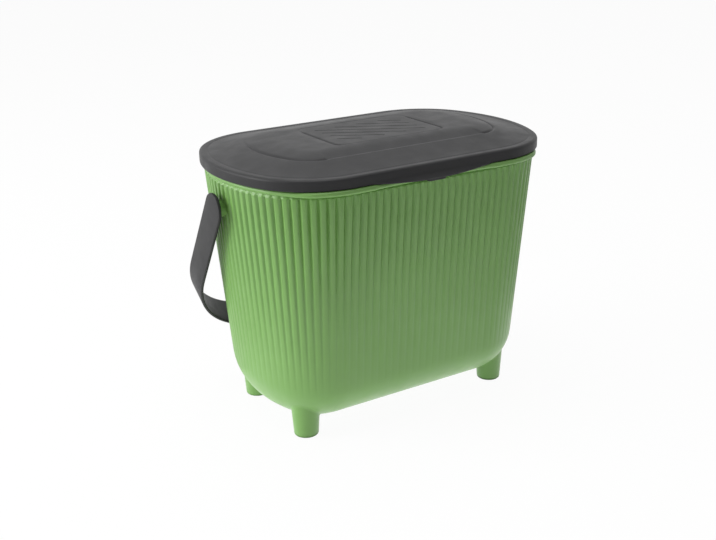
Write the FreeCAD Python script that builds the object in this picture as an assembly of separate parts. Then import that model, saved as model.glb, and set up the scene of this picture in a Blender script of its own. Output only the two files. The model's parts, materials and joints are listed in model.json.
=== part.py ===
import FreeCAD, Part
import math
import os

# Kitchen compost caddy: a ribbed tub on four feet, a crowned lift-off lid with a vent and
# a filter, a strap bail on two pins and a drain grid on the tub floor.
# Millimetres, Z up. The origin is on the floor, under the middle of the tub.
# The lift lip is on the front, -Y. The bail hangs behind, on +Y.

# Plan of the lid: straight front and back, four corner arcs and two flatter end arcs
half_length = 160.0
half_depth = 105.4
corner_radius = 74.0
end_radius = 150.0

# Tub
foot_height = 10.1
tub_height = 233.7
wall_inset = 3.2
wall_slope = 0.0893
bottom_radius = 45.7
wall = 2.6
flange_height = 4.6
flange_inset = 1.0
upstand_height = 7.2
upstand_inset = 3.0
soft_edge = 0.8
notch_clearance = 3.0
outer_steps = 5
inner_steps = 3
inner_panels = 10

# Flat vertical ribs between grooves that run out above the rounded bottom
rib_pitch = 7.5
rib_share = 0.4
rib_depth = 1.1
rib_rise = 6.0
rib_fade = 24.0
rib_ledge = 0.2

# Feet
foot_x = 107.0
foot_y = 50.7
foot_radius = 11.8

# Lid
skirt_gap = 0.4
skirt_thickness = 2.4
skirt_height = 11.5
lid_edge_radius = 3.5
lid_thickness = 2.6
panel_inset = 44.0
panel_rise = 7.0
panel_step = 0.7
step_width = 1.6
crown_inset = 64.0
crown_rise = 7.5
plug_clearance = 0.5
plug_thickness = 2.0
plug_depth = 2.8
seal_height = 2.5

# Lift lip and tab on the front of the lid
lip_half_length = 62.0
lip_drop = 3.8
lip_reach = 3.0
lip_clearance = 0.5
tab_half_width = 11.0
tab_drop = 2.6
tab_corner = 1.2

# Vent field in the middle of the lid, with the filter under it
vent_half_length = 60.0
vent_half_depth = 40.0
vent_corner = 9.6
vent_height = 0.9
slot_width = 1.8
slot_pitch = 12.0
slot_angle = -30.0
slot_margin = 10.0
collar_margin = 4.0
collar_wall = 2.0
collar_corner = 3.0
filter_clearance = 0.5
filter_thickness = 7.0
holder_thickness = 4.0
holder_bar = 3.0
collar_lip = 2.0
clip_length = 20.0
clip_height = 1.6
clip_clearance = 0.4

# Strap bail
pivot_drop = 29.1
strap_gap = 1.2
strap_thickness = 2.8
strap_width = 29.0
strap_length = 182.5
strap_corner = 96.0
strap_edge = 0.7
strap_rest_gap = 1.5

# Pivots
boss_radius = 12.0
boss_gap = 0.3
boss_seat = 2.2
pin_radius = 5.0
pin_clearance = 0.06
pin_skin = 1.0
head_radius = 8.5
head_thickness = 2.4
head_gap = 0.3

# Drain grid
grid_gap = 2.4
grid_leg = 21.3
grid_thickness = 2.6
grid_leg_width = 8.0
grid_leg_x = 72.0
grid_leg_y = 30.0
grid_slot_width = 5.0
grid_slot_length = 110.0
grid_slot_pitch = 16.0
grid_slot_columns = 11
finger_radius = 10.0
finger_edge = 9.0

# Directions
V = FreeCAD.Vector
X = V(1, 0, 0)
Z = V(0, 0, 1)
origin = V(0, 0, 0)

# Plan centres
end_x = half_length - end_radius
corner_y = half_depth - corner_radius
corner_x = end_x + math.sqrt((end_radius - corner_radius) ** 2 - corner_y ** 2)
corner_lean = math.degrees(math.atan2(corner_y, corner_x - end_x))

# Rounding of the bottom, held small enough for the plan's corners
draft = math.atan(wall_slope)
round_limit = corner_radius - 2.0 - wall_inset - wall_slope * tub_height
round_radius = min(bottom_radius, round_limit * math.cos(draft))

# Heights
floor_z = foot_height + wall
rim_z = foot_height + tub_height
round_z = foot_height + round_radius
rim_top_z = rim_z + upstand_height
skirt_bottom_z = rim_z + skirt_gap
lid_edge_z = skirt_bottom_z + skirt_height
seal_top_z = rim_top_z + seal_height
crown_z = lid_edge_z + crown_rise
ceiling_z = crown_z - lid_thickness
pivot_z = rim_z - pivot_drop
grid_z = floor_z + grid_leg
rib_end_z = round_z + rib_rise

# Tub wall and the bail's hang
wall_at_pivot = -wall_inset - wall_slope * pivot_drop
strap_inner_x = half_length + strap_gap
strap_outer_x = strap_inner_x + strap_thickness
boss_outer_x = strap_inner_x - boss_gap
boss_inner_x = half_length + wall_at_pivot - wall / math.cos(draft) - boss_seat
head_x = boss_inner_x - head_gap
pin_end_x = strap_outer_x - pin_skin


def hang_angle():
    """Angle from straight down at which the strap's inner face comes to rest by the back wall."""
    reach = strap_length - strap_thickness
    half = strap_width / 2
    across = reach + half * wall_slope
    down = reach * wall_slope - half
    wall_y = half_depth + wall_at_pivot + strap_rest_gap
    return math.degrees(math.asin(wall_y / math.hypot(across, down)) - math.atan2(down, across))


def outline_arcs(offset=0.0):
    """Centre, radius and end angles of the six arcs, anticlockwise from the front right corner."""
    corner = corner_radius + offset
    end = end_radius + offset
    lean = corner_lean
    return [
        (corner_x, -corner_y, corner, -90.0, -lean),
        (end_x, 0.0, end, -lean, lean),
        (corner_x, corner_y, corner, lean, 90.0),
        (-corner_x, corner_y, corner, 90.0, 180.0 - lean),
        (-end_x, 0.0, end, 180.0 - lean, 180.0 + lean),
        (-corner_x, -corner_y, corner, 180.0 + lean, 270.0),
    ]


def polar(x, y, radius, angle):
    """Point at an angle in degrees on a circle about (x, y)."""
    return V(x + radius * math.cos(math.radians(angle)), y + radius * math.sin(math.radians(angle)), 0)


def plan_wire(offset, z):
    """Closed line at a height, with the lid's plan moved out by an offset. Offset 0 is its outline."""
    edges = []
    ends = []
    for x, y, radius, start, stop in outline_arcs(offset):
        first = polar(x, y, radius, start)
        middle = polar(x, y, radius, (start + stop) / 2)
        last = polar(x, y, radius, stop)
        edges.append(Part.Arc(first, middle, last).toShape())
        ends.append((first, last))
    edges.insert(3, Part.makeLine(ends[2][1], ends[3][0]))
    edges.append(Part.makeLine(ends[5][1], ends[0][0]))
    wire = Part.Wire(edges)
    wire.translate(V(0, 0, z))
    return wire


def plate(offset, low, high):
    """Block with upright sides on the lid's plan."""
    return Part.Face(plan_wire(offset, low)).extrude(V(0, 0, high - low))


def stack(levels):
    """Solid that runs straight from one (offset, height) level of the lid's plan to the next."""
    return Part.makeLoft([plan_wire(offset, z) for offset, z in levels], True, True)


def flat(*points):
    """Flat face with the given corners."""
    return Part.Face(Part.makePolygon(list(points) + [points[0]]))


def panelled(levels):
    """Solid like a stack, with flat panels in place of the arcs. It keeps the hidden inside faces light."""
    rings = []
    for offset, z in levels:
        ring = []
        for x, y, radius, start, stop in outline_arcs(offset):
            for index in range(inner_panels + 1):
                angle = start + (stop - start) * index / inner_panels
                ring.append(polar(x, y, radius, angle) + V(0, 0, z))
        rings.append([point for here, point in enumerate(ring) if point.distanceToPoint(ring[here - 1]) > 0.001])
    faces = [flat(*rings[0]), flat(*rings[-1])]
    for low, high in zip(rings, rings[1:]):
        for here in range(len(low)):
            faces.append(flat(low[here - 1], low[here], high[here], high[here - 1]))
    return Part.Solid(Part.Shell(faces))


def wall_offset(z, depth=0.0):
    """Offset of the tub wall at a height, drawn in by a depth square to the wall."""
    return -wall_inset - wall_slope * (rim_z - z) - depth / math.cos(draft)


def tub_levels(depth, top_z, steps):
    """Levels of the tub surface at a depth in the wall, with the bottom rounded in even steps."""
    radius = round_radius - depth
    centre = wall_offset(round_z, round_radius)
    levels = []
    for index in range(steps + 1):
        angle = -math.pi / 2 + (math.pi / 2 - draft) * index / steps
        levels.append((centre + radius * math.cos(angle), round_z + radius * math.sin(angle)))
    levels.append((wall_offset(top_z, depth), top_z))
    return levels


def rib_points(z, share, dip):
    """One point for each rib, a share of the pitch along it, anticlockwise from the left of the front."""
    out = wall_offset(z) - rib_ledge - dip
    middle = wall_offset((rib_end_z + rim_z) / 2)
    points = []
    for side in (-1, 1):
        count = round(2 * corner_x / rib_pitch)
        for index in range(count):
            x = side * corner_x * (1 - 2 * (index + share) / count)
            points.append(V(x, side * (half_depth + out), z))
        for x, y, radius, start, stop in outline_arcs()[:3] if side < 0 else outline_arcs()[3:]:
            count = round((radius + middle) * math.radians(stop - start) / rib_pitch)
            for index in range(count):
                angle = start + (stop - start) * (index + share) / count
                points.append(polar(x, y, radius + out, angle) + V(0, 0, z))
    return points


def ribbed_wall():
    """Solid block of the ribbed height. Each groove starts at a point and is full from the end of the fade."""
    first = (1 - rib_share) / 2
    low_z = rib_end_z + rib_fade
    top_z = rim_z - flange_height / 2
    start = rib_points(rib_end_z, 0.0, 0.0)
    groove, left, right = [rib_points(low_z, share, dip) for share, dip in
                           ((0.0, rib_depth), (first, 0.0), (1 - first, 0.0))]
    groove_top, left_top, right_top = [rib_points(top_z, share, dip) for share, dip in
                                       ((0.0, rib_depth), (first, 0.0), (1 - first, 0.0))]
    rim = [point for corners in zip(groove_top, left_top, right_top) for point in corners]
    faces = [flat(*start), flat(*rim)]
    for here in range(len(start)):
        after = (here + 1) % len(start)
        faces += [
            flat(start[here], start[after], right[here], left[here]),
            flat(start[here], left[here], groove[here]),
            flat(start[after], groove[after], right[here]),
            flat(left[here], right[here], right_top[here], left_top[here]),
            flat(groove[here], left[here], left_top[here]),
            flat(groove[here], left_top[here], groove_top[here]),
            flat(right[here], groove[after], groove_top[after]),
            flat(right[here], groove_top[after], right_top[here]),
        ]
    return Part.Solid(Part.Shell(faces))


def feet():
    """The four short round feet under the rounded bottom."""
    shapes = []
    for x in (-foot_x, foot_x):
        for y in (-foot_y, foot_y):
            shapes.append(Part.makeCylinder(foot_radius, round_z, V(x, y, 0)))
    return shapes


def rim_flange():
    """Rim flange with softened edges and a notch for the lid's tab, and the upstand that enters the lid."""
    low = rim_z - flange_height
    flange = stack([
        (-flange_inset - soft_edge, low),
        (-flange_inset, low + soft_edge),
        (-flange_inset, rim_z - soft_edge),
        (-flange_inset - soft_edge, rim_z),
    ])
    half = tab_half_width + notch_clearance
    notch = Part.makeBox(2 * half, upstand_inset, flange_height + 2.0)
    notch.translate(V(-half, -half_depth, low - 1.0))
    upstand = plate(-upstand_inset, low, rim_top_z)
    return [flange.cut(notch), upstand]


def along_x(radius, start_x, stop_x):
    """Round bar on the pivot axis."""
    return Part.makeCylinder(radius, stop_x - start_x, V(start_x, 0, pivot_z), X)


def mirrored(shape):
    """The same shape at the other end of the caddy."""
    return shape.mirror(origin, X)


def make_tub():
    """Ribbed shell with rim, feet and a bored pivot boss on each end."""
    base = stack(tub_levels(0.0, rib_end_z, outer_steps))
    outside = base.multiFuse([ribbed_wall()] + rim_flange() + feet())
    shell = outside.cut(panelled(tub_levels(wall, rim_top_z + 1.0, inner_steps)))
    boss = along_x(boss_radius, boss_inner_x, boss_outer_x)
    bore = along_x(pin_radius + pin_clearance, boss_inner_x - 1.0, boss_outer_x + 1.0)
    tub = shell.multiFuse([boss, mirrored(boss)])
    return tub.cut([bore, mirrored(bore)]).removeSplitter()


def lid_shell():
    """Skirt, softened edge, rising top with its shallow step, and the plug ring inside the rim."""
    corner = lid_edge_radius * (1 - math.sqrt(0.5))
    plug_bottom_z = rim_z - plug_depth
    plug_outer = wall_offset(plug_bottom_z, wall) - plug_clearance
    plug_inner = plug_outer - plug_thickness
    outside = stack([
        (0.0, skirt_bottom_z),
        (0.0, lid_edge_z - lid_edge_radius),
        (-corner, lid_edge_z - corner),
        (-lid_edge_radius, lid_edge_z),
        (-panel_inset, lid_edge_z + panel_rise),
        (-panel_inset - step_width, lid_edge_z + panel_rise - panel_step),
        (-crown_inset, crown_z),
    ])
    channel = panelled([(-skirt_thickness, skirt_bottom_z - 1.0), (-skirt_thickness, seal_top_z)])
    plug = panelled([(plug_outer, plug_bottom_z), (plug_outer, seal_top_z)])
    hollow = panelled([
        (plug_inner, plug_bottom_z - 1.0),
        (plug_inner, seal_top_z + 0.4),
        (-crown_inset, ceiling_z),
    ])
    return outside.cut(channel).fuse(plug).cut(hollow)


def bow(reach):
    """Radius of a shallow arc over the lip's length, with the given rise in its middle."""
    return (lip_half_length ** 2 + reach ** 2) / (2 * reach)


def lift_lip():
    """Flared lip along the front of the skirt, bowed out and down to its middle, with a small tab."""
    face_y = -half_depth
    low = skirt_bottom_z - lip_drop
    inner_y = face_y + flange_inset - lip_clearance
    profile = [
        V(0, face_y + skirt_thickness / 2, lid_edge_z - lid_edge_radius),
        V(0, face_y - lip_reach, low + lip_drop / 2),
        V(0, face_y - lip_reach, low - 1.0),
        V(0, inner_y, low - 1.0),
        V(0, inner_y, skirt_bottom_z),
        V(0, face_y + skirt_thickness, skirt_bottom_z),
        V(0, face_y + skirt_thickness / 2, lid_edge_z - lid_edge_radius),
    ]
    lip = Part.Face(Part.makePolygon(profile)).extrude(V(2 * lip_half_length, 0, 0))
    lip.translate(V(-lip_half_length, 0, 0))
    out = bow(lip_reach)
    down = bow(lip_drop)
    plan = Part.makeCylinder(out, 100.0, V(0, face_y - lip_reach + out, low - 50.0))
    front = Part.makeCylinder(down, 100.0, V(0, face_y - 50.0, low + down), V(0, 1, 0))
    lip = lip.common(plan).common(front)
    tab = Part.makeBox(2 * tab_half_width, inner_y - face_y + lip_reach, tab_drop + lip_drop / 2)
    tab.translate(V(-tab_half_width, face_y - lip_reach, low - tab_drop))
    edges = [edge for edge in tab.Edges if edge.BoundBox.XLength < 0.01 and edge.BoundBox.ZMax < low - 0.5]
    return lip.fuse(tab.makeFillet(tab_corner, edges))


def rounded_box(half_x, half_y, low, high, radius):
    """Upright block with rounded corners."""
    box = Part.makeBox(2 * half_x, 2 * half_y, high - low, V(-half_x, -half_y, low))
    edges = [edge for edge in box.Edges if edge.BoundBox.ZLength > (high - low) / 2]
    return box.makeFillet(radius, edges)


def vent_slots(low, high):
    """Slanting slots across the vent field."""
    half_x = vent_half_length - slot_margin
    half_y = vent_half_depth - slot_margin
    field = rounded_box(half_x, half_y, low, high, vent_corner / 2)
    reach = half_x + half_y
    count = int(reach / slot_pitch)
    bars = []
    for index in range(-count, count + 1):
        bar = Part.makeBox(2 * reach, slot_width, high - low, V(-reach, -slot_width / 2, low))
        bar.translate(V(0, index * slot_pitch, 0))
        bar.rotate(origin, Z, slot_angle)
        bars.append(bar)
    return field.common(bars)


def make_lid():
    """Crowned lid with plug ring, lift lip, slotted vent field and filter collar."""
    field = rounded_box(vent_half_length, vent_half_depth, ceiling_z + 1.0, crown_z + vent_height, vent_corner)
    rim = [edge for edge in field.Edges if edge.BoundBox.ZMin > crown_z + vent_height - 0.01]
    field = field.makeChamfer(vent_height - 0.1, rim)
    lid = lid_shell().multiFuse([field, filter_collar(), lift_lip()])
    return lid.cut(vent_slots(ceiling_z - 1.0, crown_z + 3.0)).removeSplitter()


def collar_size():
    """Half length and half depth of the space inside the filter collar."""
    reach = collar_margin - slot_margin
    return vent_half_length + reach, vent_half_depth + reach


def clip(length, reach, height):
    """Pair of blocks through the long sides of the collar, at the holder's clip height."""
    half_x, half_y = collar_size()
    low = ceiling_z - filter_thickness - holder_thickness / 2 - height / 2
    blocks = []
    for side in (-1, 1):
        block = Part.makeBox(length, reach, height, V(-length / 2, -reach / 2, low))
        block.translate(V(0, side * (half_y + reach / 2), 0))
        blocks.append(block)
    return blocks


def filter_collar():
    """Rectangular wall under the vent field, with a window in each long side."""
    half_x, half_y = collar_size()
    low = ceiling_z - filter_thickness - holder_thickness - collar_lip
    outer_corner = collar_corner + collar_wall
    outer = rounded_box(half_x + collar_wall, half_y + collar_wall, low, ceiling_z + 0.5, outer_corner)
    inner = rounded_box(half_x, half_y, low - 1.0, ceiling_z, collar_corner)
    windows = clip(clip_length + 2 * clip_clearance, collar_wall + 1.0, clip_height + 2 * clip_clearance)
    return outer.cut([inner] + windows)


def make_filter_pad():
    """Pad that lies against the slots."""
    half_x, half_y = collar_size()
    low = ceiling_z - filter_thickness
    corner = collar_corner - filter_clearance
    return rounded_box(half_x - filter_clearance, half_y - filter_clearance, low, ceiling_z, corner)


def make_filter_holder():
    """Open tray that presses into the collar and carries the pad on crossed bars."""
    half_x, half_y = collar_size()
    top = ceiling_z - filter_thickness
    low = top - holder_thickness
    tray = rounded_box(half_x, half_y, low, top, collar_corner)
    tray = tray.cut(rounded_box(half_x - holder_bar, half_y - holder_bar, low - 1.0, top + 1.0, 1.0))
    bars = []
    for index in (-1, 0, 1):
        x = index * half_x / 2
        bars.append(Part.makeBox(holder_bar, 2 * half_y - holder_bar, holder_thickness / 2,
                                 V(x - holder_bar / 2, -half_y + holder_bar / 2, top - holder_thickness / 2)))
    bars.append(Part.makeBox(2 * half_x - holder_bar, holder_bar, holder_thickness / 2,
                             V(-half_x + holder_bar / 2, -holder_bar / 2, top - holder_thickness / 2)))
    return tray.multiFuse(bars + clip(clip_length, collar_wall - clip_clearance, clip_height)).removeSplitter()


def make_lid_seal():
    """Soft ring in the channel between skirt and plug, resting on the rim."""
    inner = wall_offset(rim_z - plug_depth, wall) - plug_clearance
    ring = panelled([(-skirt_thickness, rim_top_z), (-skirt_thickness, seal_top_z)])
    return ring.cut(panelled([(inner, rim_top_z - 1.0), (inner, seal_top_z + 1.0)]))


def strap_path(x_out, bottom):
    """Closed U outline in XZ, open side up, with the legs ending on the pivot axis."""
    radius = strap_corner - (strap_outer_x - x_out)
    bend = radius * math.sqrt(0.5)
    middle_x = strap_outer_x - strap_corner
    middle_z = pivot_z - strap_length + strap_corner
    edges = [
        Part.makeLine(V(-x_out, 0, pivot_z), V(-x_out, 0, middle_z)),
        Part.Arc(V(-x_out, 0, middle_z), V(-middle_x - bend, 0, middle_z - bend), V(-middle_x, 0, bottom)).toShape(),
        Part.makeLine(V(-middle_x, 0, bottom), V(middle_x, 0, bottom)),
        Part.Arc(V(middle_x, 0, bottom), V(middle_x + bend, 0, middle_z - bend), V(x_out, 0, middle_z)).toShape(),
        Part.makeLine(V(x_out, 0, middle_z), V(x_out, 0, pivot_z)),
        Part.makeLine(V(x_out, 0, pivot_z), V(-x_out, 0, pivot_z)),
    ]
    return Part.Face(Part.Wire(edges))


def make_handle():
    """Flat strap bail with half-round ends and a blind hole for a pin inside each end."""
    bottom = pivot_z - strap_length
    outer = strap_path(strap_outer_x, bottom)
    inner = strap_path(strap_inner_x, bottom + strap_thickness)
    band = outer.cut(inner).extrude(V(0, strap_width, 0))
    band.translate(V(0, -strap_width / 2, 0))
    end = along_x(strap_width / 2, strap_inner_x, strap_outer_x)
    strap = band.multiFuse([end, mirrored(end)]).removeSplitter()
    rims = [edge for edge in strap.Edges if on_strap_rim(edge)]
    strap = strap.makeChamfer(strap_edge, rims)
    hole = along_x(pin_radius, strap_inner_x - 1.0, pin_end_x)
    handle = strap.cut([hole, mirrored(hole)])
    handle.rotate(V(0, 0, pivot_z), X, hang_angle())
    return handle


def on_strap_rim(edge):
    """True for an edge that runs along the strap, false for one that crosses its thickness."""
    box = edge.BoundBox
    across = box.XLength < strap_thickness + 0.1 and box.ZLength < 0.1
    through = box.YLength > strap_width - 0.1 and box.ZLength < 0.1
    return not across and not through


def make_pin():
    """Headed pin from inside the tub, pressed into the strap, turning in the boss."""
    shank = along_x(pin_radius, head_x, pin_end_x)
    head = along_x(head_radius, head_x - head_thickness, head_x)
    return shank.fuse(head).removeSplitter()


def make_drain_grid():
    """Slotted plate on four legs, with two finger holes to lift it by."""
    top = grid_z + grid_thickness
    across = math.sqrt((round_radius - wall) ** 2 - (round_z - grid_z) ** 2)
    edge = wall_offset(round_z, round_radius) + across - grid_gap
    finger_x = half_length + edge - finger_edge - finger_radius
    grid = panelled([(edge, grid_z), (edge, top)])
    cuts = [Part.makeCylinder(finger_radius, 20.0, V(x * finger_x, 0, grid_z - 5.0)) for x in (-1, 1)]
    middle = (grid_slot_columns - 1) / 2
    for column in range(grid_slot_columns):
        x = (column - middle) * grid_slot_pitch - grid_slot_width / 2
        slot = Part.makeBox(grid_slot_width, grid_slot_length, 20.0, V(x, -grid_slot_length / 2, grid_z - 5.0))
        cuts.append(slot)
    legs = []
    for x in (-1, 1):
        for y in (-1, 1):
            leg = Part.makeBox(grid_leg_width, grid_leg_width, grid_leg + 1.0)
            leg.translate(V(x * grid_leg_x - grid_leg_width / 2, y * grid_leg_y - grid_leg_width / 2, floor_z))
            legs.append(leg)
    return grid.cut(cuts).multiFuse(legs).removeSplitter()


def only_solid(shape):
    """The single solid that a piece is made of."""
    return shape.Solids[0] if len(shape.Solids) == 1 else shape


os.makedirs("parts", exist_ok=True)
pin = make_pin()
pieces = {
    "tub": make_tub(),
    "lid": make_lid(),
    "lid_seal": make_lid_seal(),
    "filter_pad": make_filter_pad(),
    "filter_holder": make_filter_holder(),
    "handle": make_handle(),
    "pivot_pins": Part.makeCompound([pin, mirrored(pin)]),
    "drain_grid": make_drain_grid(),
}
for name, shape in pieces.items():
    only_solid(shape).exportStep("parts/" + name + ".step")
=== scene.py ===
import json
import math

import bmesh
import bpy
from mathutils import Matrix, Vector


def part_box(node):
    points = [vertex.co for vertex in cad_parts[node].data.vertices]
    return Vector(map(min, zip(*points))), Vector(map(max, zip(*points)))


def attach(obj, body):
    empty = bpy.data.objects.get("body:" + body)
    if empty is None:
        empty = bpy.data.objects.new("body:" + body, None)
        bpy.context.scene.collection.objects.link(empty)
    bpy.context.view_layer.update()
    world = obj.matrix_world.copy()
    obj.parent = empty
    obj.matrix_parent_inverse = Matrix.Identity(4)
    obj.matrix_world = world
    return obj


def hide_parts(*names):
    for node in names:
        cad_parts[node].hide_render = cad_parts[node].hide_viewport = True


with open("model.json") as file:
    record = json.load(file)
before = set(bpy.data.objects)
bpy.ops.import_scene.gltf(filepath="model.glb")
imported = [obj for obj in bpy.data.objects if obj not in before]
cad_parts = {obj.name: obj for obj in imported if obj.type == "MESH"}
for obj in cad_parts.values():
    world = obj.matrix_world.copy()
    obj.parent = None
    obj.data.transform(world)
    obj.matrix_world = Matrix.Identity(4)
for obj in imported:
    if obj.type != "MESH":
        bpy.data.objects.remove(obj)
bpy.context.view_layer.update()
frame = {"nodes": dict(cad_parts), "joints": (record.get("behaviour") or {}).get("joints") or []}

# Looks of the kitchen compost caddy. Metres, in the same frame as the CAD model.
# The tub, lid, bail, seal and filter pad are rebuilt as finer meshes, close to the CAD sizes.
# An offset is measured outwards from the lid's outline in plan, and an inset inwards from it.
# A column is a place on that outline: x, y and the outward direction nx, ny.

MM = 0.001

# Outline of the lid in plan, shared by tub, lid and seal
half_length = 160.0 * MM
half_depth = 105.4 * MM
corner_radius = 74.0 * MM
end_radius = 150.0 * MM
end_x = half_length - end_radius
corner_y = half_depth - corner_radius
corner_x = end_x + math.sqrt((end_radius - corner_radius) ** 2 - corner_y ** 2)
corner_lean = math.atan2(corner_y, corner_x - end_x)

# Tub
foot_height = 10.1 * MM
rim_z = 243.8 * MM
rim_top_z = 251.0 * MM
wall_inset = 3.2 * MM
wall_slope = 0.0893
end_slope = 0.0815
bottom_radius = 49.5 * MM
round_z = foot_height + bottom_radius
front_reach = 9.0 * MM
wall = 2.6 * MM
flange_height = 4.6 * MM
flange_reach = 2.2 * MM
flange_end_reach = -2.7 * MM
flange_end_from = 0.45
flange_end_ease = 0.4
flange_lip_draw = 3.3 * MM
flange_depth = 2.4 * MM
undercut_height = 3.0 * MM
undercut_rows = ((2.2, 0.4), (1.0, 1.4), (0.0, 1.6))
undercut_ribs = 0.3
upstand_inset = 3.0 * MM
upstand_soft = 0.6 * MM
notch_half = 14.0 * MM
notch_ease = 1.5 * MM
notch_skin = 0.1 * MM
rib_pitch = 7.5 * MM
rib_start = 6.0 * MM
rib_depth = 2.2 * MM
rib_groove = 0.6
rib_low_z = 46.0 * MM
rib_full_z = 215.0 * MM
rib_samples = 10
foot_x = 107.0 * MM
foot_y = 50.7 * MM
foot_radius = 11.6 * MM
foot_flare = 0.06
foot_soft = 2.0 * MM
foot_fillet = 2.4 * MM
foot_sink = 0.25 * MM
boss_radius = 7.6 * MM
boss_inner_x = 149.4 * MM
boss_gap = 0.3 * MM
boss_soft = 0.8 * MM
pin_bore = 5.06 * MM

# Lid
skirt_bottom_z = rim_z + 0.4 * MM
lid_edge_z = skirt_bottom_z + 10.0 * MM
edge_width = 3.0 * MM
edge_height = 2.8 * MM
skirt_thickness = 2.4 * MM
skirt_rows = ((-1.2, 0.2, 0.55, 0.6), (-0.9, 0.0, 0.9, 1.0), (-0.3, 0.15, 1.0, 0.97), (0.0, 0.7, 1.0, 0.86))
brim_inset = 8.0 * MM
brim_dip = 0.15 * MM
brim_line_half = 1.0 * MM
brim_line_depth = 0.2 * MM
panel_inset = 41.5 * MM
crease_half = 2.0 * MM
crease_depth = 1.2 * MM
crease_to = 0.1
crease_ease = 0.3
step_half = 1.6 * MM
step_depth = 0.8 * MM
step_fade = 16.0 * MM
step_from = 0.985
step_ease = 0.015
crown_inset = 64.0 * MM
crown_z = lid_edge_z + 9.9 * MM
crown_power = 1.3
lid_thickness = 2.6 * MM
ceiling_z = crown_z - lid_thickness
plug_bottom_z = rim_z - 2.8 * MM
plug_gap = 0.5 * MM
plug_thickness = 2.0 * MM
seal_top_z = rim_top_z + 2.5 * MM
seal_gap = 0.05 * MM
seal_soft = 0.7 * MM
lip_half_length = 62.0 * MM
lip_reach = 4.0 * MM
lip_drop = 3.8 * MM
lip_band = 0.42
lip_power = 1.25
lip_drop_power = 1.5
tab_half_width = 9.0 * MM
tab_drop = 1.6 * MM
tab_top_share = 0.3
tab_lap = 0.5 * MM
tab_setback = 1.0 * MM
tab_soft = 0.9 * MM
vent_half_length = 58.0 * MM
vent_half_depth = 40.0 * MM
vent_corner = 9.6 * MM
vent_groove = 1.1 * MM
groove_half = 1.9 * MM
groove_rows = ((1.9, 0.0), (1.4, 0.15), (0.6, 0.85), (0.0, 1.0), (-0.6, 0.85), (-1.4, 0.15), (-1.9, 0.0))
groove_faint = 0.2
groove_end = 6.0 * MM
groove_end_ease = 5.0 * MM
groove_fade_y = 20.0 * MM
groove_fade = 10.0 * MM
vent_lap = 4.0 * MM
slot_width = 1.1 * MM
slot_pitch = 12.0 * MM
slot_angle = math.radians(-30.0)
slot_margin = 13.0 * MM
pad_gap = 0.3 * MM
pad_edge = 0.06
pad_border = 0.55
pad_swell = 0.37
pad_dimple = 0.02

# Bail
pivot_z = frame["joints"][0]["pos_m"][2]
strap_outer_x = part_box("handle")[1].x
strap_thickness = 2.8 * MM
strap_width = 29.0 * MM
strap_length = 182.5 * MM
strap_corner = 96.0 * MM
strap_soft = 0.9 * MM
hang_angle = math.radians(33.467)


def mesh_object(name, points, faces, smooth=True):
    """New object from points and faces, with outward normals."""
    mesh = bpy.data.meshes.new(name)
    mesh.from_pydata(points, [], faces)
    work = bmesh.new()
    work.from_mesh(mesh)
    bmesh.ops.remove_doubles(work, verts=work.verts, dist=1e-6)
    bmesh.ops.recalc_face_normals(work, faces=work.faces)
    work.to_mesh(mesh)
    work.free()
    for polygon in mesh.polygons:
        polygon.use_smooth = smooth
    item = bpy.data.objects.new(name, mesh)
    bpy.context.scene.collection.objects.link(item)
    return item


def sharpen(item, degrees):
    """Split the shading where faces meet at more than an angle."""
    bpy.context.view_layer.objects.active = item
    item.select_set(True)
    bpy.ops.object.shade_smooth_by_angle(angle=math.radians(degrees))
    item.select_set(False)


def plan_columns(per_line, per_corner, per_end):
    """Columns round the outline, anticlockwise from the left end of the front line.
    A line is given by the side it lies on, an arc by its centre, radius and angles."""
    columns = []
    stretches = [
        ("line", -1, per_line),
        ("arc", (corner_x, -corner_y, corner_radius, -math.pi / 2, -corner_lean), per_corner),
        ("arc", (end_x, 0.0, end_radius, -corner_lean, corner_lean), per_end),
        ("arc", (corner_x, corner_y, corner_radius, corner_lean, math.pi / 2), per_corner),
        ("line", 1, per_line),
        ("arc", (-corner_x, corner_y, corner_radius, math.pi / 2, math.pi - corner_lean), per_corner),
        ("arc", (-end_x, 0.0, end_radius, math.pi - corner_lean, math.pi + corner_lean), per_end),
        ("arc", (-corner_x, -corner_y, corner_radius, math.pi + corner_lean, 1.5 * math.pi), per_corner),
    ]
    for kind, data, count in stretches:
        for index in range(count):
            share = index / count
            if kind == "line":
                side = data
                x = side * corner_x * (1 - 2 * share)
                columns.append((x, side * half_depth, 0.0, side))
            else:
                cx, cy, radius, start, stop = data
                angle = start + (stop - start) * share
                nx = math.cos(angle)
                ny = math.sin(angle)
                columns.append((cx + radius * nx, cy + radius * ny, nx, ny))
    return columns


def grid_faces(rows, columns, closed_rows=False):
    """Quads between rings of points that close on themselves."""
    faces = []
    last = rows if closed_rows else rows - 1
    for row in range(last):
        for column in range(columns):
            after = (column + 1) % columns
            above = (row + 1) % rows
            faces.append((row * columns + column, row * columns + after,
                          above * columns + after, above * columns + column))
    return faces


def slope_at(nx):
    """Slope of the tub wall where the plan faces along nx. The ends stand a little steeper."""
    return wall_slope - (wall_slope - end_slope) * nx ** 4


def wall_offset(z, depth=0.0, nx=0.0):
    """Offset of the tub wall from the lid's outline at a height, drawn in by a depth."""
    slope = slope_at(nx)
    return -wall_inset - slope * (rim_z - z) - depth * math.hypot(1.0, slope)


def rounding(nx):
    """Reach, upper angle and centre of the bottom's rounding where the plan faces along nx.
    The centre lies at the height round_z."""
    reach = bottom_radius + front_reach * (1 - nx * nx)
    stop = -math.atan(slope_at(nx) * bottom_radius / reach)
    join_z = round_z + bottom_radius * math.sin(stop)
    return reach, stop, wall_offset(join_z, 0.0, nx) - reach * math.cos(stop)


def smooth_step(value):
    """Ease from 0 to 1."""
    value = max(0.0, min(1.0, value))
    return value * value * (3 - 2 * value)


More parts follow.
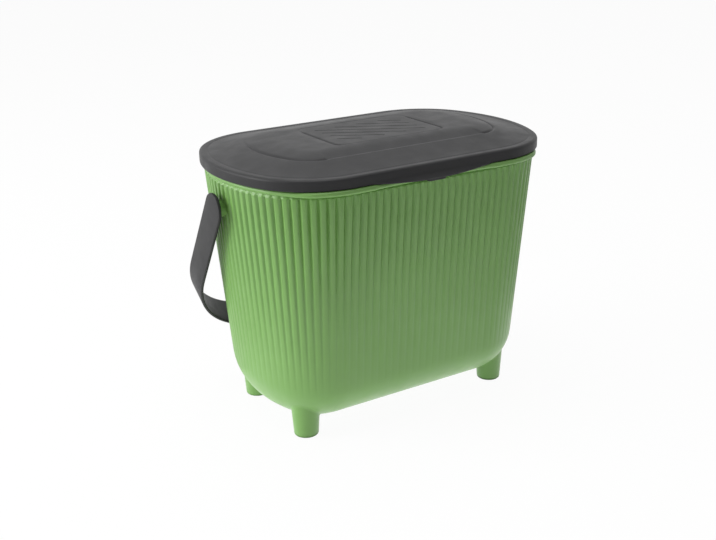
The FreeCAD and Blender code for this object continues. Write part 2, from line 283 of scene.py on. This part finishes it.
def rib_counts():
    """Whole ribs on a line, a corner and an end, counted half way up the ribbed wall."""
    middle = wall_offset((rim_z + round_z + rib_start) / 2)
    line = round(2 * corner_x / rib_pitch)
    corner = round((corner_radius + middle) * (math.pi / 2 - corner_lean) / rib_pitch)
    end = round((end_radius + middle) * 2 * corner_lean / rib_pitch)
    return line, corner, end


def rib_share(z):
    """Share of the ribs' depth at a height. The ribs run out slowly towards the bottom."""
    return max(0.0, min(1.0, (z - rib_low_z) / (rib_full_z - rib_low_z)))


def outer_column(nx):
    """Rows of the tub's outside from the bottom to the flange: (offset, height, share of the ribs)."""
    reach, stop, centre = rounding(nx)
    rows = []
    steps = 14
    for index in range(steps + 1):
        angle = -math.pi / 2 + (stop + math.pi / 2) * index / steps
        z = round_z + bottom_radius * math.sin(angle)
        rows.append((centre + reach * math.cos(angle), z, rib_share(z)))
    low = rim_z - flange_height
    bottom = rows[-1][1]
    for index in range(1, 15):
        z = bottom + (low - undercut_height - bottom) * index / 14
        rows.append((wall_offset(z, 0.0, nx), z, rib_share(z)))
    for drop, depth in undercut_rows:
        rows.append((wall_offset(low, depth * MM, nx), low - drop * MM, undercut_ribs))
    return rows


def rib_wave(index):
    """Depth of the groove between two ribs at a column, 0 to 1. The crests are flat."""
    away = abs((index / rib_samples + 0.5) % 1.0 - 0.5) / (rib_groove / 2)
    return 0.5 + 0.5 * math.cos(math.pi * min(1.0, away))


def rim_column(x, nx, ny):
    """Rows of the rim flange and the upstand: (offset, height, share of the notch).
    The flange draws in under the lift lip and at the ends."""
    at_end = smooth_step((abs(nx) - flange_end_from) / flange_end_ease)
    reach = flange_reach + (flange_end_reach - flange_reach) * at_end
    reach -= flange_lip_draw * math.sqrt(lip_share(x, ny))
    low = rim_z - flange_height
    middle = (low + rim_z) / 2
    inside = wall_offset(rim_top_z, wall, nx)
    undercut = undercut_rows[-1][1] * MM
    rows = [(wall_offset(low, undercut, nx), low + 0.2 * MM, 0.0)]
    for index in range(15):
        angle = -math.pi / 2 + math.pi * index / 14
        rows.append((reach - flange_depth + flange_depth * math.cos(angle),
                     middle + (rim_z - low) / 2 * math.sin(angle), 1.0))
    rows.append((-upstand_inset, rim_z, 0.0))
    rows.append((-upstand_inset, rim_top_z - upstand_soft, 0.0))
    rows.append((-upstand_inset - upstand_soft, rim_top_z, 0.0))
    rows.append((inside + upstand_soft, rim_top_z, 0.0))
    rows.append((inside, rim_top_z - upstand_soft, 0.0))
    return rows


def inner_column(nx):
    """Rows of the tub's inside from the rim down to the floor: (offset, height)."""
    reach, stop, centre = rounding(nx)
    rows = [(wall_offset(z, wall, nx), z) for z in (rim_z, rim_z - 60 * MM, rim_z - 120 * MM)]
    steps = 10
    for index in range(steps + 1):
        angle = stop - (stop + math.pi / 2) * index / steps
        z = round_z + (bottom_radius - wall) * math.sin(angle)
        rows.append((centre + (reach - wall) * math.cos(angle), z))
    return rows


def make_tub():
    """Ribbed tub shell with rim, rounded bottom and inside. The flange is notched behind the lid's tab."""
    line, corner, end = rib_counts()
    columns = plan_columns(line * rib_samples, corner * rib_samples, end * rib_samples)
    rings = []
    for index, (x, y, nx, ny) in enumerate(columns):
        wave = rib_wave(index)
        notch = smooth_step((notch_half + notch_ease - abs(x)) / notch_ease) if on_front(ny) else 0.0
        ring = [(offset - share * rib_depth * wave, z) for offset, z, share in outer_column(nx)]
        for offset, z, share in rim_column(x, nx, ny):
            cut = min(offset, -upstand_inset + notch_skin)
            ring.append((offset + notch * share * (cut - offset), z))
        ring += inner_column(nx)
        rings.append([(x + out * nx, y + out * ny, z) for out, z in ring])
    rows = len(rings[0])
    points = [ring[row] for row in range(rows) for ring in rings]
    faces = grid_faces(rows, len(columns))
    faces.append(tuple(range(len(columns))))
    last = (rows - 1) * len(columns)
    faces.append(tuple(range(last, last + len(columns))))
    return mesh_object("tub_shell", points, faces)


def revolved(name, profile, place, count=48):
    """Solid of revolution. profile is (radius, distance) along local Z, closed at both ends."""
    points = []
    for radius, along in profile:
        for index in range(count):
            angle = 2 * math.pi * index / count
            points.append(place @ Vector((radius * math.cos(angle), radius * math.sin(angle), along)))
    faces = grid_faces(len(profile), count)
    faces.append(tuple(range(count)))
    last = (len(profile) - 1) * count
    faces.append(tuple(range(last, last + count)))
    return mesh_object(name, [tuple(point) for point in points], faces)


def bottom_height(x, y):
    """Height of the tub's outside bottom over a point in plan."""
    along = max(0.0, abs(x) - corner_x)
    away = math.hypot(along, max(0.0, abs(y) - corner_y))
    offset = away - corner_radius
    nx = along / away if away > 0 else 0.0
    lean = math.atan2(abs(y), abs(x) - end_x)
    if lean < corner_lean:
        offset = math.hypot(abs(x) - end_x, y) - end_radius
        nx = math.cos(lean)
    reach, _, centre = rounding(nx)
    run = max(0.0, offset - centre) / reach
    return round_z - bottom_radius * math.sqrt(max(0.0, 1 - run * run))


def foot_join(x, y, angle):
    """Distance from a foot's axis at which its flank meets the tub's bottom, in one direction."""
    reach = foot_radius
    for _ in range(30):
        top = bottom_height(x + reach * math.cos(angle), y + reach * math.sin(angle))
        reach = 0.5 * reach + 0.5 * (foot_radius + foot_flare * top)
    return reach


def make_foot(name, x, y):
    """Short tapered foot with a rounded lower edge and a fillet that runs out on the tub's bottom."""
    count = 64
    steps = 10
    lower = []
    for index in range(6):
        angle = -math.pi / 2 + math.pi / 2 * index / 5
        radius = foot_radius - foot_soft + foot_soft * math.cos(angle)
        lower.append((radius, foot_soft + foot_soft * math.sin(angle)))
    rings = []
    for index in range(count):
        angle = 2 * math.pi * index / count
        reach = foot_join(x, y, angle)
        run = reach + foot_fillet
        top = bottom_height(x + reach * math.cos(angle), y + reach * math.sin(angle))
        end = bottom_height(x + run * math.cos(angle), y + run * math.sin(angle)) + foot_sink
        low = top - min(foot_fillet, 0.6 * top)
        flank = foot_radius + foot_flare * low
        ring = list(lower)
        ring.append((flank, low))
        for step in range(1, steps + 1):
            t = step / steps
            radius = (1 - t) ** 2 * flank + 2 * t * (1 - t) * reach + t * t * run
            height = (1 - t) ** 2 * low + 2 * t * (1 - t) * top + t * t * end
            ring.append((radius, height))
        rings.append([(x + out * math.cos(angle), y + out * math.sin(angle), z) for out, z in ring])
    rows = len(rings[0])
    points = [rings[column][row] for row in range(rows) for column in range(count)]
    faces = grid_faces(rows, count)
    faces.append(tuple(range(count)))
    return mesh_object(name, points, faces)


def vent_radius(angle, grow):
    """Distance from the middle to the vent field's rounded rectangle along a direction, by bisection.
    The rectangle is first grown by a length on all sides."""
    half_x = vent_half_length + grow
    half_y = vent_half_depth + grow
    corner = vent_corner + grow
    low = 0.0
    high = half_x + half_y
    dx = math.cos(angle)
    dy = math.sin(angle)
    for _ in range(40):
        middle = (low + high) / 2
        qx = abs(middle * dx) - (half_x - corner)
        qy = abs(middle * dy) - (half_y - corner)
        away = math.hypot(max(qx, 0.0), max(qy, 0.0)) + min(max(qx, qy), 0.0) - corner
        if away > 0:
            high = middle
        else:
            low = middle
    return low


def on_front(ny):
    """Whether a column lies on the outline's front line."""
    return ny < -0.999


def lip_share(x, ny):
    """How far the lift lip flares at a place along the front, 0 to 1."""
    if not on_front(ny) or abs(x) > lip_half_length:
        return 0.0
    return 1 - (x / lip_half_length) ** 2


def lid_top_height(inset, ny):
    """Height of the lid's top at an inset, where the outline faces along ny. A fine line runs inside
    the brim, a small step marks the panel's front and a crease its ends."""
    share = max(0.0, min(1.0, (inset - brim_inset) / (crown_inset - brim_inset)))
    curve = 0.5 * (1 - (1 - share) ** crown_power) + 0.5 * smooth_step(share)
    rise = (crown_z - lid_edge_z + brim_dip) * curve
    rise -= brim_dip * min(1.0, (inset - edge_width) / (brim_inset - edge_width))
    rise -= brim_line_depth * max(0.0, 1 - abs(inset - brim_inset) / brim_line_half)
    front = smooth_step((-ny - step_from) / step_ease)
    end = (1 - front) * (1 - smooth_step((ny - crease_to) / crease_ease))
    into = inset - panel_inset
    crease = max(0.0, 1 - abs(into) / crease_half)
    step = smooth_step((into + step_half) / (2 * step_half))
    step *= 1 - smooth_step((into - step_half) / step_fade)
    return lid_edge_z + rise - end * crease_depth * crease - front * step_depth * step


def make_lid():
    """Crowned lid: skirt with its flared lip, softened edge, stepped top and hollow underside."""
    columns = plan_columns(64, 22, 18)
    points = []

    def ring(offset, z, flare=0.0, drop=0.0):
        for x, y, nx, ny in columns:
            lip = lip_share(x, ny)
            out = offset + flare * lip * lip_reach
            points.append((x + out * nx, y + out * ny, z - drop * lip * lip_drop))

    def top_ring(inset):
        for x, y, nx, ny in columns:
            points.append((x - inset * nx, y - inset * ny, lid_top_height(inset, ny)))

    # Inside of the skirt, its lower edge and its outside with the lip
    ring(-skirt_thickness, seal_top_z)
    ring(-skirt_thickness, skirt_bottom_z + 1.0 * MM)
    for offset, height, flare, drop in skirt_rows:
        ring(offset * MM, skirt_bottom_z + height * MM, flare, drop)
    lower = skirt_bottom_z + skirt_rows[-1][1] * MM
    lower_drop = skirt_rows[-1][3]
    upper = lid_edge_z - edge_height
    for index in range(1, 15):
        share = (index / 14) ** 1.5
        flare = max(0.0, 1 - share / lip_band) ** lip_power
        ring(0.0, lower + (upper - lower) * share, flare, lower_drop * (1 - share) ** lip_drop_power)

    # Rounded edge, brim, panel and vent field
    for index in range(1, 13):
        angle = math.pi / 2 * index / 12
        ring(-edge_width * (1 - math.cos(angle)), upper + edge_height * math.sin(angle))
    insets = [4, 5.5, 7, 7.5, 8, 8.5, 9, 11, 14, 18, 24, 30, 35, 38.5]
    insets += [39.7 + 0.3 * step for step in range(13)]
    insets += [44.5, 47, 50, 53, 57, 61, 64]
    for inset in insets:
        top_ring(inset * MM)
    add_vent_rings(points, columns)

    # Underside: opening for the vent panel, ceiling, plug and seat of the seal
    for x, y, nx, ny in columns:
        angle = math.atan2(y - crown_inset * ny, x - crown_inset * nx)
        reach = vent_radius(angle, -vent_lap)
        points.append((reach * math.cos(angle), reach * math.sin(angle), ceiling_z))
    plug_outer = wall_offset(plug_bottom_z, wall) - plug_gap
    plug_inner = plug_outer - plug_thickness
    ring(-crown_inset, ceiling_z)
    ring(plug_inner, seal_top_z + 0.4 * MM)
    ring(plug_inner, plug_bottom_z)
    ring(plug_outer, plug_bottom_z)
    ring(plug_outer, seal_top_z)
    rows = len(points) // len(columns)
    faces = grid_faces(rows, len(columns), closed_rows=True)
    return mesh_object("lid_shell", points, faces)


def add_vent_rings(points, columns):
    """Rows from the crown's edge to the vent field, with a groove round the field that is deepest at
    the field's ends and runs out towards the back."""
    for share in (0.4, 0.8):
        for x, y, nx, ny in columns:
            px = x - crown_inset * nx
            py = y - crown_inset * ny
            angle = math.atan2(py, px)
            reach = vent_radius(angle, groove_half)
            vx = reach * math.cos(angle)
            vy = reach * math.sin(angle)
            points.append((px + (vx - px) * share, py + (vy - py) * share, crown_z))
    for grow, dip in groove_rows + ((-vent_lap / MM, 0.0),):
        for x, y, nx, ny in columns:
            angle = math.atan2(y - crown_inset * ny, x - crown_inset * nx)
            reach = vent_radius(angle, grow * MM)
            vx = reach * math.cos(angle)
            vy = reach * math.sin(angle)
            at_end = smooth_step((abs(vx) - vent_half_length + groove_end) / groove_end_ease)
            at_end *= 1 - smooth_step((vy - groove_fade_y) / groove_fade)
            depth = vent_groove * (groove_faint + (1 - groove_faint) * at_end)
            points.append((vx, vy, crown_z - dip * depth))


def make_vent():
    """Slotted panel in the middle of the lid."""
    count = 160
    points = []
    for z in (ceiling_z, crown_z):
        for index in range(count):
            angle = 2 * math.pi * index / count
            reach = vent_radius(angle, -vent_lap)
            points.append((reach * math.cos(angle), reach * math.sin(angle), z))
    faces = grid_faces(2, count)
    faces.append(tuple(range(count)))
    faces.append(tuple(range(count, 2 * count)))
    panel = mesh_object("vent_panel", points, faces, smooth=False)
    cutter = vent_cutter(ceiling_z - 2 * MM, crown_z + 2 * MM)
    cut = panel.modifiers.new("slots", "BOOLEAN")
    cut.operation = "DIFFERENCE"
    cut.solver = "EXACT"
    cut.object = cutter
    dependencies = bpy.context.evaluated_depsgraph_get()
    mesh = bpy.data.meshes.new_from_object(panel.evaluated_get(dependencies))
    panel.modifiers.clear()
    panel.data = mesh
    bpy.data.objects.remove(cutter)
    return panel


def vent_cutter(low, high):
    """Slanting bars, each cut to the vent's inner field."""
    half_x = vent_half_length - slot_margin
    half_y = vent_half_depth - slot_margin
    run = Vector((math.cos(slot_angle), math.sin(slot_angle)))
    side = Vector((-run.y, run.x))
    points = []
    faces = []
    count = int((half_x + half_y) / slot_pitch)
    for index in range(-count, count + 1):
        middle = side * (index * slot_pitch)
        start = -1e9
        stop = 1e9
        for axis, half in ((0, half_x), (1, half_y)):
            a = (-half - middle[axis]) / run[axis]
            b = (half - middle[axis]) / run[axis]
            start = max(start, min(a, b))
            stop = min(stop, max(a, b))
        if stop - start < 3 * slot_width:
            continue
        base = len(points)
        radius = slot_width / 2
        outline = []
        for centre, turn in ((stop - radius, -math.pi / 2), (start + radius, math.pi / 2)):
            for step in range(7):
                angle = turn + math.pi * step / 6
                along = centre + radius * math.cos(angle)
                across = radius * math.sin(angle)
                outline.append(middle + run * along + side * across)
        for z in (low, high):
            points += [(point.x, point.y, z) for point in outline]
        size = len(outline)
        faces += [tuple(base + item for item in face) for face in grid_faces(2, size)]
        faces.append(tuple(range(base, base + size)))
        faces.append(tuple(range(base + size, base + 2 * size)))
    return mesh_object("vent_cutter", points, faces, smooth=False)


def rounded_bar(name, size, place, soft):
    """Block with softened edges."""
    work = bmesh.new()
    bmesh.ops.create_cube(work, size=1.0)
    bmesh.ops.scale(work, vec=Vector(size), verts=work.verts)
    bmesh.ops.bevel(work, geom=work.edges[:] + work.verts[:], offset=soft, segments=4, profile=0.5,
                    affect="EDGES")
    bmesh.ops.translate(work, vec=Vector(place), verts=work.verts)
    mesh = bpy.data.meshes.new(name)
    work.to_mesh(mesh)
    work.free()
    for polygon in mesh.polygons:
        polygon.use_smooth = True
    item = bpy.data.objects.new(name, mesh)
    bpy.context.scene.collection.objects.link(item)
    return item


def make_tab():
    """Small tab under the middle of the lift lip."""
    low = skirt_bottom_z - lip_drop - tab_drop
    high = skirt_bottom_z - lip_drop * tab_top_share
    depth = lip_reach + tab_lap
    front = -half_depth - lip_reach + tab_setback
    size = (2 * tab_half_width, depth, high - low)
    place = (0.0, front + depth / 2, (low + high) / 2)
    return rounded_bar("lift_tab", size, place, tab_soft)


def strap_point(along):
    """Place and outward normal on the strap's middle line, from the left pivot round to the right one."""
    radius = strap_corner - strap_thickness / 2
    x = strap_outer_x - strap_thickness / 2
    leg = strap_length - strap_corner
    bend = radius * math.pi / 2
    flat = 2 * (x - radius)
    z = pivot_z - strap_length + strap_corner
    if along < leg:
        return Vector((-x, 0, pivot_z - along)), Vector((-1, 0, 0))
    along -= leg
    if along < bend:
        angle = math.pi + along / radius
        normal = Vector((math.cos(angle), 0, math.sin(angle)))
        return Vector((-x + radius, 0, z)) + radius * normal, normal
    along -= bend
    if along < flat:
        return Vector((-x + radius + along, 0, z - radius)), Vector((0, 0, -1))
    along -= flat
    if along < bend:
        angle = 1.5 * math.pi + along / radius
        normal = Vector((math.cos(angle), 0, math.sin(angle)))
        return Vector((x - radius, 0, z)) + radius * normal, normal
    along -= bend
    return Vector((x, 0, z + along)), Vector((1, 0, 0))


def make_strap():
    """Flat strap bail with half-round ends and softened edges."""
    half = strap_width / 2
    radius = strap_corner - strap_thickness / 2
    total = 2 * (strap_length - strap_corner) + math.pi * radius
    total += 2 * (strap_outer_x - strap_thickness / 2 - radius)
    stops = []
    for index in range(1, 17):
        stops.append(-half * math.cos(math.pi / 2 * index / 16))
    body = 150
    stops += [total * index / body for index in range(1, body)]
    for index in range(16):
        stops.append(total + half * math.sin(math.pi / 2 * index / 16))
    section = []
    for corner_w, corner_t, start in ((1, 1, 0.0), (-1, 1, 0.5), (-1, -1, 1.0), (1, -1, 1.5)):
        for step in range(5):
            section.append((corner_w, corner_t, math.pi * (start + 0.5 * step / 4)))
    turn = Matrix.Rotation(hang_angle, 4, "X")
    pivot = Vector((0, 0, pivot_z))
    points = []
    for along in stops:
        width = half
        if along < 0:
            width = math.sqrt(max(0.0, half ** 2 - along ** 2))
        if along > total:
            width = math.sqrt(max(0.0, half ** 2 - (along - total) ** 2))
        middle, normal = strap_point(along)
        edge = min(strap_soft, width * 0.6)
        for corner_w, corner_t, angle in section:
            across = corner_w * (width - edge) + edge * math.cos(angle)
            out = corner_t * (strap_thickness / 2 - edge) + edge * math.sin(angle)
            point = middle + normal * out + Vector((0, across, 0))
            points.append(tuple(pivot + turn @ (point - pivot)))
    faces = grid_faces(len(stops), len(section))
    faces.append(tuple(range(len(section))))
    last = (len(stops) - 1) * len(section)
    faces.append(tuple(range(last, last + len(section))))
    return mesh_object("bail_strap", points, faces)


def make_seal():
    """Soft sealing ring with a rounded bead towards the rim."""
    columns = plan_columns(32, 18, 14)
    outer = -skirt_thickness - seal_gap
    inner = wall_offset(plug_bottom_z, wall) - plug_gap + seal_gap
    high = seal_top_z - seal_gap
    rows = []
    for middle, start in ((inner + seal_soft, math.pi), (outer - seal_soft, 1.5 * math.pi)):
        for step in range(5):
            angle = start + math.pi / 2 * step / 4
            z = rim_top_z + seal_soft + seal_soft * math.sin(angle)
            rows.append((middle + seal_soft * math.cos(angle), z))
    rows += [(outer, high), (inner, high)]
    points = []
    for offset, z in rows:
        for x, y, nx, ny in columns:
            points.append((x + offset * nx, y + offset * ny, z))
    return mesh_object("seal_ring", points, grid_faces(len(rows), len(columns), closed_rows=True))


def make_pad():
    """Felt filter pad: a slightly crowned slab with drawn-in edges and faint dimples."""
    low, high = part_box("filter_pad")
    half_x = high.x - pad_gap
    half_y = high.y - pad_gap
    middle = (low.z + high.z) / 2
    half_z = (high.z - low.z) / 2
    across = 44
    deep = 28
    line = across + 1
    points = []
    faces = []
    for side in (1, -1):
        for j in range(deep + 1):
            for i in range(line):
                u = 2 * i / across - 1
                v = 2 * j / deep - 1
                edge = min(1 - abs(u), (1 - abs(v)) * half_y / half_x) / pad_edge
                lift = pad_border + pad_swell * math.sqrt(min(1.0, edge) * (2 - min(1.0, edge)))
                dimple = pad_dimple * math.sin(23 * u) * math.sin(17 * v + 1.3)
                points.append((u * half_x, v * half_y, middle + side * half_z * (lift + dimple)))

    # Faces of the two sides, then the band that joins their borders
    size = line * (deep + 1)
    for side in (0, 1):
        for j in range(deep):
            for i in range(across):
                a = side * size + j * line + i
                faces.append((a, a + 1, a + line + 1, a + line))
    border = list(range(line))
    border += [j * line + across for j in range(1, deep + 1)]
    border += [deep * line + i for i in range(across - 1, -1, -1)]
    border += [j * line for j in range(deep - 1, 0, -1)]
    for index, a in enumerate(border):
        b = border[(index + 1) % len(border)]
        faces.append((a, b, b + size, a + size))
    return mesh_object("felt_pad", points, faces)


def make_boss(name, side):
    """Bored pivot boss on one end of the tub, just clear of the strap."""
    inner = boss_inner_x
    outer = strap_outer_x - strap_thickness - boss_gap
    shoulder = boss_radius - boss_soft
    profile = [(pin_bore, inner), (shoulder, inner), (boss_radius, inner + boss_soft)]
    profile += [(boss_radius, outer - boss_soft), (shoulder, outer), (pin_bore, outer)]
    place = Matrix.Translation((0, 0, pivot_z)) @ Matrix.Rotation(side * math.pi / 2, 4, "Y")
    boss = revolved(name, profile, place)
    sharpen(boss, 35)
    return boss


def node_tree(name):
    """New material with its nodes, links and shader."""
    material = bpy.data.materials.new(name)
    material.use_nodes = True
    nodes = material.node_tree.nodes
    return material, nodes, material.node_tree.links, nodes["Principled BSDF"]


def add_noise(nodes, links, scale, detail=2.0, roughness=0.5):
    """Noise in object coordinates."""
    where = nodes.new("ShaderNodeTexCoord")
    noise = nodes.new("ShaderNodeTexNoise")
    noise.inputs["Scale"].default_value = scale
    noise.inputs["Detail"].default_value = detail
    noise.inputs["Roughness"].default_value = roughness
    links.new(where.outputs["Object"], noise.inputs["Vector"])
    return noise


def add_ramp(nodes, links, source, low, high):
    """Map a 0 to 1 signal to a range, as colours or grey values."""
    ramp = nodes.new("ShaderNodeValToRGB")
    ramp.color_ramp.elements[0].position = 0.3
    ramp.color_ramp.elements[1].position = 0.7
    ramp.color_ramp.elements[0].color = low
    ramp.color_ramp.elements[1].color = high
    links.new(source, ramp.inputs["Fac"])
    return ramp


def add_bump(nodes, links, shader, noise, strength, distance):
    """Fine relief from a noise on a shader's normal."""
    bump = nodes.new("ShaderNodeBump")
    bump.inputs["Strength"].default_value = strength
    bump.inputs["Distance"].default_value = distance
    links.new(noise.outputs["Fac"], bump.inputs["Height"])
    links.new(bump.outputs["Normal"], shader.inputs["Normal"])


def grey(value):
    """Opaque grey colour."""
    return value, value, value, 1


def moulded_plastic(name, low, high, rough_low, rough_high, grain, grain_scale, specular):
    """Moulded plastic: faint colour drift, uneven gloss and a fine grain."""
    material, nodes, links, shader = node_tree(name)
    drift = add_noise(nodes, links, 14.0, 3.0)
    colour = add_ramp(nodes, links, drift.outputs["Fac"], low, high)
    links.new(colour.outputs["Color"], shader.inputs["Base Color"])
    gloss = add_noise(nodes, links, 60.0, 4.0)
    rough = add_ramp(nodes, links, gloss.outputs["Fac"], grey(rough_low), grey(rough_high))
    links.new(rough.outputs["Color"], shader.inputs["Roughness"])
    shader.inputs["Specular IOR Level"].default_value = specular
    fine = add_noise(nodes, links, grain_scale, 3.0, 0.6)
    add_bump(nodes, links, shader, fine, grain, 0.2 * MM)
    return material


def felt_material():
    """Charcoal felt: short fibres and a soft sheen."""
    material, nodes, links, shader = node_tree("charcoal_felt")
    fibre = add_noise(nodes, links, 900.0, 6.0, 0.7)
    colour = add_ramp(nodes, links, fibre.outputs["Fac"], grey(0.012), grey(0.05))
    links.new(colour.outputs["Color"], shader.inputs["Base Color"])
    shader.inputs["Roughness"].default_value = 0.95
    shader.inputs["Sheen Weight"].default_value = 0.3
    add_bump(nodes, links, shader, fibre, 0.6, 0.6 * MM)
    return material


def paint(item, material):
    """Give an object one material."""
    item.data.materials.clear()
    item.data.materials.append(material)


def dress(item, material, body, slot, *nodes):
    """Finish a new piece: material, body and the CAD nodes that it stands for. The slot is not used."""
    paint(item, material)
    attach(item, body)
    if nodes:
        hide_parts(*nodes)
    return item


def soften_node(name, width):
    """Small rounded edges on a CAD node that stays."""
    item = frame["nodes"][name]
    weld = item.modifiers.new("weld", "WELD")
    weld.merge_threshold = 1e-6
    bevel = item.modifiers.new("soft", "BEVEL")
    bevel.width = width
    bevel.segments = 2
    bevel.limit_method = "ANGLE"
    bevel.angle_limit = math.radians(40)
    return item


# Materials
green = moulded_plastic("green_plastic", (0.132, 0.288, 0.060, 1), (0.144, 0.308, 0.068, 1),
                        rough_low=0.38, rough_high=0.48, grain=0.10, grain_scale=900.0, specular=0.5)
dark = moulded_plastic("dark_plastic", (0.023, 0.023, 0.024, 1), (0.028, 0.028, 0.029, 1),
                       rough_low=0.42, rough_high=0.52, grain=0.25, grain_scale=1400.0, specular=0.172)
grid_grey = moulded_plastic("grid_plastic", grey(0.11), grey(0.13),
                            rough_low=0.45, rough_high=0.55, grain=0.15, grain_scale=1000.0, specular=0.5)
rubber = moulded_plastic("seal_rubber", grey(0.2), grey(0.24),
                         rough_low=0.6, rough_high=0.7, grain=0.2, grain_scale=1600.0, specular=0.4)
felt = felt_material()

# Tub
tub = make_tub()
sharpen(tub, 50)
dress(tub, green, "tub", "green_plastic", "tub")
feet = (("front_left", -1, -1), ("front_right", 1, -1), ("back_left", -1, 1), ("back_right", 1, 1))
for label, x, y in feet:
    dress(make_foot("foot_" + label, x * foot_x, y * foot_y), green, "tub", "green_plastic")
for label, side in (("left", -1), ("right", 1)):
    dress(make_boss("boss_" + label, side), green, "tub", "green_plastic")

# Lid
lid = make_lid()
sharpen(lid, 40)
dress(lid, dark, "lid", "dark_plastic", "lid")
dress(make_vent(), dark, "lid", "dark_plastic")
dress(make_tab(), dark, "lid", "dark_plastic")
dress(make_seal(), rubber, "lid", "seal_rubber", "lid_seal")
pad = dress(make_pad(), felt, "lid", "filter_felt", "filter_pad")
paint(soften_node("filter_holder", 0.3 * MM), dark)

# Bail and grid
strap = make_strap()
sharpen(strap, 40)
dress(strap, dark, "handle", "dark_plastic", "handle")
paint(soften_node("pivot_pins", 0.5 * MM), dark)
paint(soften_node("drain_grid", 0.4 * MM), grid_grey)


def make_camera():
    """Camera at the photograph's view, turned a little about its own axis."""
    azimuth = math.radians(-31.156)
    elevation = math.radians(20.295)
    roll = math.radians(-1.2565)
    distance = 0.9971
    target = Vector((-0.0165, 0.0, 0.1272))
    level = math.cos(elevation)
    back = Vector((math.sin(azimuth) * level, -math.cos(azimuth) * level, math.sin(elevation)))
    right = Vector((math.cos(azimuth), math.sin(azimuth), 0.0))
    up = back.cross(right)
    turned_right = right * math.cos(roll) + up * math.sin(roll)
    turned_up = up * math.cos(roll) - right * math.sin(roll)
    place = Matrix((turned_right, turned_up, back)).transposed().to_4x4()
    place.translation = target + back * distance
    data = bpy.data.cameras.new("camera")
    data.lens = 51.57
    data.sensor_width = 36.0
    data.clip_start = 0.01
    item = bpy.data.objects.new("camera", data)
    item.matrix_world = place
    bpy.context.scene.collection.objects.link(item)
    bpy.context.scene.camera = item


def make_light(name, place, aim, size, power):
    """Soft square lamp aimed at a point, not seen by the camera."""
    data = bpy.data.lights.new(name, "AREA")
    data.shape = "SQUARE"
    data.size = size
    data.energy = power
    item = bpy.data.objects.new(name, data)
    item.location = place
    item.rotation_euler = (Vector(aim) - Vector(place)).to_track_quat("-Z", "Y").to_euler()
    item.visible_camera = False
    bpy.context.scene.collection.objects.link(item)


def seen_directly(nodes, links):
    """1 for camera, glossy and transmission rays, else 0."""
    path = nodes.new("ShaderNodeLightPath")
    first = nodes.new("ShaderNodeMath")
    first.operation = "MAXIMUM"
    links.new(path.outputs["Is Camera Ray"], first.inputs[0])
    links.new(path.outputs["Is Glossy Ray"], first.inputs[1])
    second = nodes.new("ShaderNodeMath")
    second.operation = "MAXIMUM"
    links.new(first.outputs["Value"], second.inputs[0])
    links.new(path.outputs["Is Transmission Ray"], second.inputs[1])
    return second.outputs["Value"]


def make_floor():
    """White floor that keeps a soft shadow. Seen directly, most of its brightness is its own."""
    half = 6.0
    own_share = 0.96
    points = [(-half, -half, 0), (half, -half, 0), (half, half, 0), (-half, half, 0)]
    floor = mesh_object("floor", points, [(0, 1, 2, 3)], smooth=False)
    material, nodes, links, shader = node_tree("floor_white")
    shader.inputs["Base Color"].default_value = grey(0.88)
    shader.inputs["Roughness"].default_value = 0.9
    shader.inputs["Specular IOR Level"].default_value = 0.1
    glow = nodes.new("ShaderNodeEmission")
    glow.inputs["Color"].default_value = grey(1)
    glow.inputs["Strength"].default_value = 1.0
    mix = nodes.new("ShaderNodeMixShader")
    part = nodes.new("ShaderNodeMath")
    part.operation = "MULTIPLY"
    part.inputs[1].default_value = own_share
    links.new(seen_directly(nodes, links), part.inputs[0])
    links.new(part.outputs["Value"], mix.inputs["Fac"])
    links.new(shader.outputs["BSDF"], mix.inputs[1])
    links.new(glow.outputs["Emission"], mix.inputs[2])
    links.new(mix.outputs["Shader"], nodes["Material Output"].inputs["Surface"])
    paint(floor, material)


def make_world():
    """White surroundings for the camera and reflections, dimmer as a light."""
    world = bpy.data.worlds.new("studio")
    bpy.context.scene.world = world
    world.use_nodes = True
    nodes = world.node_tree.nodes
    links = world.node_tree.links
    base = nodes["Background"]
    base.inputs["Color"].default_value = grey(1)
    level = nodes.new("ShaderNodeMapRange")
    level.inputs["To Min"].default_value = 0.06
    level.inputs["To Max"].default_value = 1.0
    links.new(seen_directly(nodes, links), level.inputs["Value"])
    links.new(level.outputs["Result"], base.inputs["Strength"])


# Stage: key light from the left and a little behind, soft light from above, weak glow from the table in front
make_camera()
make_floor()
make_world()
make_light("key", place=(-1.65, 0.6, 0.8), aim=(0, 0, 0.12), size=1.2, power=36.0)
make_light("top", place=(-0.1, 0.15, 2.2), aim=(-0.1, 0.15, 0.0), size=1.6, power=34.0)
make_light("table", place=(-0.1, -0.32, 0.002), aim=(-0.1, -0.32, 1.0), size=0.8, power=1.25)
bpy.context.scene.view_settings.view_transform = "Standard"
